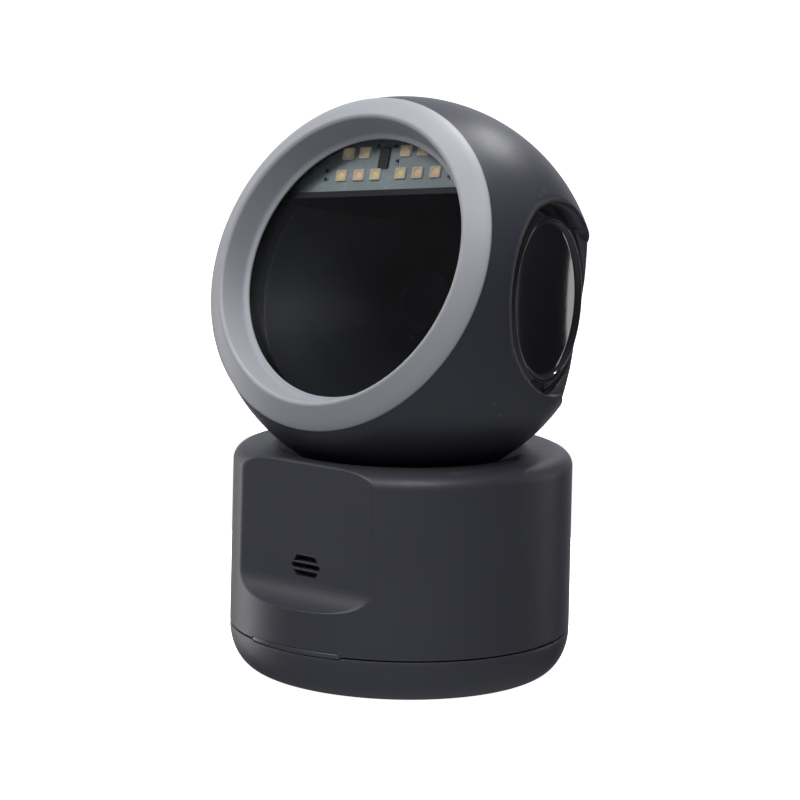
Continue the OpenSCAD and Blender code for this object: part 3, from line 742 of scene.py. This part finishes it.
def glass(name, tint, ior=1.45, haze=0.02):
    """Thin clear pane: see-through, a mirror reflection that grows at grazing angles, a faint haze."""
    m, t, b = new_material(name)
    t.nodes.remove(b)
    out = [n for n in t.nodes if n.type == "OUTPUT_MATERIAL"][0]
    co = t.nodes.new("ShaderNodeTexCoord")
    smear = texture(t, "ShaderNodeTexNoise", 60, 4, 0.6, co.outputs["Object"])
    clear = node(t, "ShaderNodeBsdfTransparent", Color=(*tint, 1))
    gloss = node(t, "ShaderNodeBsdfGlossy")
    rr = ramp(t, smear.outputs["Fac"], grey(0.015, 0.05))
    t.links.new(rr, gloss.inputs["Roughness"])
    soft = node(t, "ShaderNodeBsdfDiffuse", Color=(0.5, 0.5, 0.52, 1))
    fres = node(t, "ShaderNodeFresnel", IOR=ior)
    film = t.nodes.new("ShaderNodeMixShader")
    hz = ramp(t, smear.outputs["Fac"], grey(haze * 0.3, haze * 1.6))
    t.links.new(hz, film.inputs["Fac"])
    t.links.new(clear.outputs[0], film.inputs[1])
    t.links.new(soft.outputs[0], film.inputs[2])
    mix = t.nodes.new("ShaderNodeMixShader")
    t.links.new(fres.outputs[0], mix.inputs["Fac"])
    t.links.new(film.outputs[0], mix.inputs[1])
    t.links.new(gloss.outputs[0], mix.inputs[2])
    t.links.new(mix.outputs[0], out.inputs["Surface"])
    return m


def solder_mask(name, low, high):
    """Circuit board: lacquered mask with the copper's tracks faintly raised under it."""
    m, t, b = new_material(name)
    co = t.nodes.new("ShaderNodeTexCoord")
    drift = texture(t, "ShaderNodeTexNoise", 90, 3, 0.5, co.outputs["Object"])
    tracks = texture(t, "ShaderNodeTexVoronoi", 380, 0, 0, co.outputs["Object"],
                     distance="MANHATTAN", feature="F1")
    lines = ramp(t, tracks.outputs["Distance"], [(0.4, (0, 0, 0)), (0.5, (1, 1, 1))])
    colour = ramp(t, drift.outputs["Fac"], [(0.3, low), (0.7, high)])
    mix = node(t, "ShaderNodeMix", data_type="RGBA", blend_type="MULTIPLY")
    mul = node(t, "ShaderNodeMath", operation="MULTIPLY")
    t.links.new(lines, mul.inputs[0])
    mul.inputs[1].default_value = 0.25
    t.links.new(mul.outputs[0], mix.inputs["Factor"])
    t.links.new(colour, mix.inputs["A"])
    mix.inputs["B"].default_value = (0.6, 0.66, 0.62, 1)
    t.links.new(mix.outputs["Result"], b.inputs["Base Color"])
    bp = t.nodes.new("ShaderNodeBump")
    bp.inputs["Strength"].default_value = 0.25
    bp.inputs["Distance"].default_value = 0.00004
    t.links.new(lines, bp.inputs["Height"])
    t.links.new(bp.outputs["Normal"], b.inputs["Normal"])
    rr = ramp(t, drift.outputs["Fac"], grey(0.28, 0.42))
    t.links.new(rr, b.inputs["Roughness"])
    return m


MAT = {
    "shell": moulded("shell_charcoal", (0.023, 0.024, 0.033), (0.028, 0.029, 0.040), (0.36, 0.46),
                     grain=2600, bump=0.3, specular=0.5, wear=0.25, dust=0.03),
    # Painted light: the base is the same plastic as the head's shell, given a lighter colour to stand in for
    # the light falling on its panel and ledge
    "base": moulded("base_charcoal_painted_lighter", (0.036, 0.0368, 0.046), (0.043, 0.0438, 0.054), (0.4, 0.5),
                     grain=2600, bump=0.3, specular=0.5, wear=0.25, dust=0.03),
    "bezel": moulded("bezel_light_grey", (0.262, 0.268, 0.292), (0.288, 0.294, 0.318), (0.4, 0.5),
                     grain=2200, bump=0.12, specular=0.45, dust=0.05),
    "cap": moulded("cap_gloss_black", (0.009, 0.009, 0.012), (0.012, 0.012, 0.016), (0.05, 0.11),
                     grain=700, bump=0.01, specular=0.5, dust=0.01),
    "hood": moulded("hood_matt_black", (0.008, 0.008, 0.010), (0.011, 0.011, 0.014), (0.42, 0.55),
                     grain=1800, bump=0.3, specular=0.3),
    "frame": moulded("frame_black", (0.012, 0.012, 0.013), (0.02, 0.02, 0.021), (0.5, 0.65),
                     grain=1800, bump=0.3, specular=0.4),
    "chip": moulded("component_black", (0.01, 0.01, 0.011), (0.016, 0.016, 0.018), (0.35, 0.5),
                     grain=3000, bump=0.25, specular=0.45),
    "pipe": moulded("light_pipe_smoke", (0.045, 0.046, 0.052), (0.06, 0.061, 0.068), (0.25, 0.35),
                     grain=1500, bump=0.08, specular=0.5, coat=0.2),
    "rubber": moulded("rubber_dark", (0.012, 0.012, 0.012), (0.02, 0.02, 0.02), (0.7, 0.85),
                     grain=1500, bump=0.5, specular=0.3, dust=0.1),
    "steel": moulded("plated_steel", (0.42, 0.42, 0.43), (0.55, 0.55, 0.56), (0.25, 0.4),
                     grain=1800, bump=0.2, specular=0.5, metallic=1.0),
    "brass": moulded("spring_brass", (0.42, 0.28, 0.12), (0.55, 0.38, 0.17), (0.25, 0.4),
                     grain=1500, bump=0.2, specular=0.5, metallic=1.0),
    "gold": moulded("contact_gold", (0.6, 0.42, 0.14), (0.72, 0.5, 0.18), (0.15, 0.25),
                     grain=2500, bump=0.1, specular=0.5, metallic=1.0),
    "nylon": moulded("nylon_natural", (0.5, 0.48, 0.42), (0.58, 0.56, 0.5), (0.35, 0.5),
                     grain=1400, bump=0.2, specular=0.45),
    "label": moulded("label_silver", (0.42, 0.42, 0.43), (0.5, 0.5, 0.51), (0.35, 0.45),
                     grain=2600, bump=0.15, specular=0.4, dust=0.05),
    "board": solder_mask("board_green", (0.02, 0.09, 0.05), (0.03, 0.12, 0.065)),
    "pale": solder_mask("board_pale", (0.32, 0.375, 0.36), (0.37, 0.42, 0.405)),
    "led": moulded("led_package", (0.60, 0.51, 0.37), (0.66, 0.57, 0.43), (0.3, 0.4),
                     grain=1500, bump=0.1, specular=0.4),
    "glass": glass("window_clear", (0.92, 0.93, 0.95), 1.25, 0.004),
    # Painted shade: the lens's dark tint stands in for the shade deep inside the hood
    "lens": glass("lens_dark_painted_shade", (0.2, 0.22, 0.35), 1.2, 0.001),
}


def phosphor():
    """The lamps' domes: yellow phosphor under clear resin, deeper in the middle of each."""
    m, t, b = new_material("led_phosphor")
    co = t.nodes.new("ShaderNodeTexCoord")
    n = texture(t, "ShaderNodeTexNoise", 900, 2, 0.5, co.outputs["Object"])
    hue = texture(t, "ShaderNodeTexNoise", 95, 0, 0.5, co.outputs["Object"])
    tones = [(0.35, (0.9, 0.6, 0.26)), (0.5, (0.95, 0.55, 0.3)), (0.65, (0.85, 0.68, 0.22))]
    c1 = ramp(t, hue.outputs["Fac"], tones)
    t.links.new(c1, b.inputs["Base Color"])
    rr = ramp(t, n.outputs["Fac"], grey(0.2, 0.35))
    t.links.new(rr, b.inputs["Roughness"])
    bp = t.nodes.new("ShaderNodeBump")
    bp.inputs["Strength"].default_value = 0.1
    bp.inputs["Distance"].default_value = 0.00005
    t.links.new(n.outputs["Fac"], bp.inputs["Height"])
    t.links.new(bp.outputs["Normal"], b.inputs["Normal"])
    return m


MAT["phosphor"] = phosphor()
lens_at = HEAD @ Vector((0, 12, 0)) * MM
# Painted shade: the hood's finish darkens towards the lens, standing in for the shade deep inside it
shade_painted_near(MAT["hood"], lens_at, 0.014, 0.038)
# Painted light: a faint warm glow on the lamp housings and domes stands in for light falling on them through
# the window
for lit, painted_glow in (("led", 0.08), ("phosphor", 0.10)):
    shader = principled(MAT[lit])
    shader.inputs["Emission Color"].default_value = (1.0, 0.82, 0.58, 1)
    shader.inputs["Emission Strength"].default_value = painted_glow


def finish_with(obj, mat, slot, body, *replaced):
    """Gives a piece its material and body, and hides the CAD nodes it stands in for; the slot argument is not
    used.
    """
    obj.data.materials.clear()
    obj.data.materials.append(MAT[mat])
    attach(obj, body)
    if replaced:
        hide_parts(*replaced)
    return obj


# ---------------------------------------------------------------- pieces

def build_ring():
    """The bezel ring: outer slope, rounded crest, funnel, lip over the window's edge."""
    outline = [(39.9, 18.3), (39.9, 24.22), (43.0, 24.22), (43.2, 24.34), (43.22, 24.6), (43.05, 24.85)]
    outline += [(41.5, 26.0), (40.0, 26.95)] + arc(37.55, 27.35, 0.95, 0.95, 56, 166, 14)
    outline += [(36.2, 26.0), (35.6, 24.2), (35.15, 22.6), (34.95, 21.9), (34.75, 21.62)]
    outline += [(34.0, 21.4), (33.75, 21.3), (33.62, 21.12), (33.6, 20.8)]
    outline += [(33.75, 20.62), (34.0, 20.58), (38.3, 20.58), (38.3, 18.3)]
    obj = turned("bezel_ring_skin", outline, NOSE, 360, 40)
    fix_normals(obj)
    return obj


def build_cap(side, label):
    """A side cap: sloped skirt, rounded rim, shallow dish."""
    outline = [(0, 37.0), (23.55, 37.0), (23.75, 37.2), (23.8, 38.5), (23.6, 38.85)]
    outline += [(22.6, 39.3), (21.5, 39.95)]
    outline += arc(20.3, 39.85, 0.75, 0.75, 42, 158, 12) + [(19.35, 39.75)]
    dish_r, dish_h, dish_rise = 19.1, 37.9, 1.6
    outline += [(dish_r * u, dish_h + dish_rise * u ** 2.2) for u in np.linspace(1, 0.05, 26)] + [(0, dish_h)]
    obj = turned("side_cap_skin_" + label, outline, cap_matrix(side), 240, 50, closed=False)
    fix_normals(obj)
    return obj


def ring_fill(outer, inner, first_outer, first_inner):
    """Faces of the flat between an outline and a smaller one inside it."""
    n_o, n_i = len(outer), len(inner)
    nearest = [min(range(n_i), key=lambda q: math.dist(inner[q], point)) for point in outer]
    faces = []
    for i in range(n_o):
        j = (i + 1) % n_o
        path = [nearest[i]]
        while path[-1] != nearest[j] and len(path) <= n_i:
            path.append((path[-1] + 1) % n_i)
        faces.append((first_outer + i, first_outer + j, *[first_inner + q for q in reversed(path)]))
    return faces


def lamp_package():
    """One lamp's cream housing, with a round well in its top."""
    outline = round_rect(*LAMP_SIZE, 0.25, 3)
    well = arc(0, 0, WELL_R, WELL_R, 0, 360, 27)[:-1]
    n_o, n_w = len(outline), len(well)
    verts = [(a, b, 0) for a, b in outline] + [(a, b, LAMP_H - 0.08) for a, b in outline]
    verts += [(a * 0.97, b * 0.97, LAMP_H) for a, b in outline]
    verts += [(a, b, LAMP_H) for a, b in well] + [(a * 0.86, b * 0.86, 0.4) for a, b in well]
    faces = [tuple(range(n_o - 1, -1, -1))] + band(0, n_o, n_o) + band(n_o, 2 * n_o, n_o)
    faces += ring_fill(outline, well, 2 * n_o, 3 * n_o) + band(3 * n_o, 3 * n_o + n_w, n_w)
    return verts, faces


def lamp_dome():
    """The resin over one lamp's phosphor."""
    n = 24
    rings = [(DOME_R * math.cos(a), 0.38 + 0.14 * math.sin(a)) for a in np.radians(np.linspace(0, 90, 6))]
    verts, faces = [], []
    for r, h in rings[:-1]:
        verts += [(r * c, r * s, h) for c, s in circle(n)]
    verts.append((0, 0, rings[-1][1]))
    for i in range(len(rings) - 2):
        faces += band(i * n, (i + 1) * n, n)
    last, tip = (len(rings) - 2) * n, (len(rings) - 1) * n
    faces += [(last + j, last + (j + 1) % n, tip) for j in range(n)]
    return verts, faces


def on_board(x, z):
    """A place on the lighting board's front face, in the head's own frame."""
    return move(x, -BOARD_FACE, z) @ turn("X", 90)


def board_part(name, parts, sharp, mat, slot, *replaced):
    """Small parts of the lighting board as one piece."""
    obj = as_object(name, *merge(parts), HEAD, sharp)
    fix_normals(obj)
    finish_with(obj, mat, slot, "head", *replaced)


shell, rear = build_head()
finish_with(shell, "shell", "shell_black", "head", "head_shell")
finish_with(rear, "shell", "shell_black", "head", "head_rear_cover")
finish_with(build_base(), "base", "shell_black", "base", "base_upper_shell")
finish_with(build_cover(), "base", "shell_black", "base", "base_lower_cover")
pipe = as_object("light_pipe_bar", *bar_shape(0.0, 42.8, 43.94, 0.03))
fix_normals(pipe)
finish_with(pipe, "pipe", "light_pipe", "base", "status_light_pipe")
finish_with(build_ring(), "bezel", "bezel_grey", "head", "bezel_ring")
for side, label in ((1, "right"), (-1, "left")):
    finish_with(build_cap(side, label), "cap", "cap_gloss_black", "head", "side_cap_" + label)

lamp_places = [on_board(mid + s * x, z) for mid, z, offsets in LAMP_ROWS for s in (-1, 1) for x in offsets]
board_part("led_packages", [(*lamp_package(), place) for place in lamp_places], 30,
           "led", "led_cream", "illumination_leds")
board_part("led_domes", [(*lamp_dome(), place) for place in lamp_places], 50, "phosphor", "led_cream")

# Resistors as (x, z, turn), each with two tinned ends
RESISTORS = ((-18.5, 25.2, 0), (-18.5, 27.4, 0), (20.6, 24.6, 90), (-3.2, 33.6, 90), (2.4, 33.2, 0),
             (10.6, 34.0, 0), (3.6, 29.2, 90))
bodies, ends = [], []
for x, z, angle in RESISTORS:
    place = on_board(x, z) @ turn("Z", angle)
    bodies.append((*prism(round_rect(0.9, 0.75, 0.08, 2), 0, 0.38), place))
    for s in (-1, 1):
        ends.append((*prism(round_rect(0.32, 0.8, 0.08, 2), 0, 0.4), place @ move(s * 0.6, 0, 0)))
board_part("board_resistors", bodies, 30, "chip", "component_black")
board_part("board_solder_ends", ends, 30, "steel", "plated_steel")

SLOT_MATERIAL = {
    "shell_black": "shell", "bezel_grey": "bezel", "cap_gloss_black": "cap", "window_glass": "glass",
    "hood_black": "hood", "frame_black": "frame", "component_black": "chip", "light_pipe": "pipe",
    "board_pale": "pale", "board_green": "board", "led_cream": "led", "label_silver": "label",
    "nylon_natural": "nylon", "rubber_dark": "rubber", "plated_steel": "steel", "spring_brass": "brass",
    "contact_gold": "gold",
}
NODE_MATERIAL = {"lens_glass": "lens", "buzzer": "hood", "camera_body": "hood", "lens_barrel": "hood"}
for entry in frame["record"]["subparts"]:
    obj = frame["nodes"][entry["node"]]
    key = NODE_MATERIAL.get(entry["node"], SLOT_MATERIAL[entry["material_slot"]])
    for i in range(len(obj.data.materials)):
        obj.data.materials[i] = MAT[key]
    if not obj.data.materials:
        obj.data.materials.append(MAT[key])

# ---------------------------------------------------------------- stage, light, camera

def stage_floor():
    """A pale floor that curves up into a backdrop all round (metres)."""
    n, flat_r, curve, top_r, top_h = 60, 1.1, 0.9, 2.0, 3.2
    profile = [(0.35, 0.0), (flat_r, 0.0)]
    profile += [(flat_r + curve * math.sin(a), curve * (1 - math.cos(a)))
                for a in np.radians(np.linspace(6, 90, 15))]
    profile += [(top_r, top_h)]
    verts, faces = [], []
    for r, z in profile:
        verts += [(r * c, r * s, z) for c, s in circle(n)]
    verts.append((0, 0, 0))
    middle = len(verts) - 1
    faces += [(middle, i, (i + 1) % n) for i in range(n)]
    for k in range(len(profile) - 1):
        faces += band(k * n, (k + 1) * n, n)
    mesh = bpy.data.meshes.new("floor")
    mesh.from_pydata(verts, [], faces)
    mesh.polygons.foreach_set("use_smooth", [True] * len(mesh.polygons))
    o = bpy.data.objects.new("floor", mesh)
    bpy.context.collection.objects.link(o)
    m, t, b = new_material("floor_white")
    co = t.nodes.new("ShaderNodeTexCoord")
    nz = texture(t, "ShaderNodeTexNoise", 6, 3, 0.5, co.outputs["Object"])
    t.links.new(ramp(t, nz.outputs["Fac"], grey(0.8, 0.82)), b.inputs["Base Color"])
    b.inputs["Roughness"].default_value = 0.7
    b.inputs["Specular IOR Level"].default_value = 0.1
    b.inputs["Emission Color"].default_value = (1, 1, 1, 1)
    b.inputs["Emission Strength"].default_value = 1.02
    o.data.materials.append(m)
    o.visible_diffuse = False
    o.visible_glossy = False


stage_floor()

LIGHTS_AIM = (0, 0, 0.075)


def softbox(name, direction, distance, size, power):
    """A rectangular light that faces the object from a direction."""
    light = bpy.data.lights.new(name, "AREA")
    light.shape = "RECTANGLE"
    light.size, light.size_y = size
    light.energy = power
    o = bpy.data.objects.new(name, light)
    d = Vector(direction).normalized()
    o.location = Vector(LIGHTS_AIM) + d * distance
    o.rotation_mode = "QUATERNION"
    o.rotation_quaternion = (-d).to_track_quat("-Z", "Y")
    bpy.context.collection.objects.link(o)


# The camera stands round to the right of the front
AZ = math.radians(38.83)
RIGHT = np.array([math.cos(AZ), math.sin(AZ), 0])
NEAR = np.array([math.sin(AZ), -math.cos(AZ), 0])
UP = np.array([0, 0, 1.0])


def seen(right, up, near):
    """A direction given as the camera sees it."""
    return tuple(right * RIGHT + up * UP + near * NEAR)


softbox("kicker", seen(0.42, 0.72, -0.55), 0.6, (0.07, 0.07), 0.6)
softbox("front_top", seen(0.1, 0.8, 0.58), 0.85, (0.25, 0.25), 2.8)
softbox("top", seen(0.1, 1.0, -0.15), 0.75, (0.3, 0.3), 4.4)
softbox("left_rim", seen(-0.85, -0.02, -0.52), 0.8, (0.4, 0.8), 2.6)
softbox("left_fill", seen(-0.62, 0.66, 0.43), 0.8, (0.3, 0.3), 3.0)
softbox("strip", seen(0.92, 0.02, -0.33), 0.7, (0.07, 0.5), 0.4)

world = bpy.data.worlds.new("studio")
bpy.context.scene.world = world
world.use_nodes = True
wt = world.node_tree
wt.nodes.clear()
wo = wt.nodes.new("ShaderNodeOutputWorld")
wb = wt.nodes.new("ShaderNodeBackground")
tc = wt.nodes.new("ShaderNodeTexCoord")


def sky(direction, stops):
    """One soft part of the studio's surroundings, brightest towards a direction."""
    d = wt.nodes.new("ShaderNodeVectorMath")
    d.operation = "DOT_PRODUCT"
    d.inputs[1].default_value = Vector(direction).normalized()
    wt.links.new(tc.outputs["Generated"], d.inputs[0])
    r = wt.nodes.new("ShaderNodeMapRange")
    r.inputs["From Min"].default_value = -1
    wt.links.new(d.outputs["Value"], r.inputs["Value"])
    cool = [(x, (g * 0.96, g * 0.98, g * 1.06)) for x, g in stops]
    return ramp(wt, r.outputs["Result"], cool)


def added(a, b):
    """The sum of two parts of the surroundings."""
    n = wt.nodes.new("ShaderNodeMix")
    n.data_type = "RGBA"
    n.blend_type = "ADD"
    n.inputs["Factor"].default_value = 1
    wt.links.new(a, n.inputs["A"])
    wt.links.new(b, n.inputs["B"])
    return n.outputs["Result"]


above = sky((0, 0, 1), [(0.0, 0.12), (0.42, 0.05), (0.5, 0.02), (1.0, 0.25)])
behind = sky(seen(0.0, 0.05, -1), [(0.9, 0.0), (0.96, 0.6), (1.0, 0.7)])
bounce = sky(seen(0.1, -0.85, 0.5), [(0.5, 0.0), (1.0, 0.42)])
wt.links.new(added(added(above, behind), bounce), wb.inputs["Color"])
wb.inputs["Strength"].default_value = 1.0
wt.links.new(wb.outputs[0], wo.inputs["Surface"])

# Camera: where it stands, how it is turned from the AZ direction, and its lens
CAM_AT = (0.4335, -0.5386, 0.17894)
YAW, PITCH, CAM_ROLL = math.radians(-0.0928), math.radians(-8.983), math.radians(1.287)
SENSOR = 36
LENS = SENSOR * 3.4049125


def camera_axes():
    """The camera's right, up and forward directions after yaw, pitch and roll."""
    forward = -NEAR * math.cos(YAW) + RIGHT * math.sin(YAW)
    right = RIGHT * math.cos(YAW) + NEAR * math.sin(YAW)
    up = UP * math.cos(PITCH) - forward * math.sin(PITCH)
    forward = forward * math.cos(PITCH) + UP * math.sin(PITCH)
    rolled_right = right * math.cos(CAM_ROLL) + up * math.sin(CAM_ROLL)
    rolled_up = up * math.cos(CAM_ROLL) - right * math.sin(CAM_ROLL)
    return rolled_right, rolled_up, forward


cam_data = bpy.data.cameras.new("camera")
cam = bpy.data.objects.new("camera", cam_data)
bpy.context.collection.objects.link(cam)
right, up, forward = camera_axes()
view = Matrix.Identity(4)
for i in range(3):
    view[i][0], view[i][1], view[i][2], view[i][3] = right[i], up[i], -forward[i], CAM_AT[i]
cam.matrix_world = view
cam_data.sensor_width = SENSOR
cam_data.lens = LENS
cam_data.clip_start, cam_data.clip_end = 0.01, 50
bpy.context.scene.camera = cam
bpy.context.scene.view_settings.view_transform = "Standard"
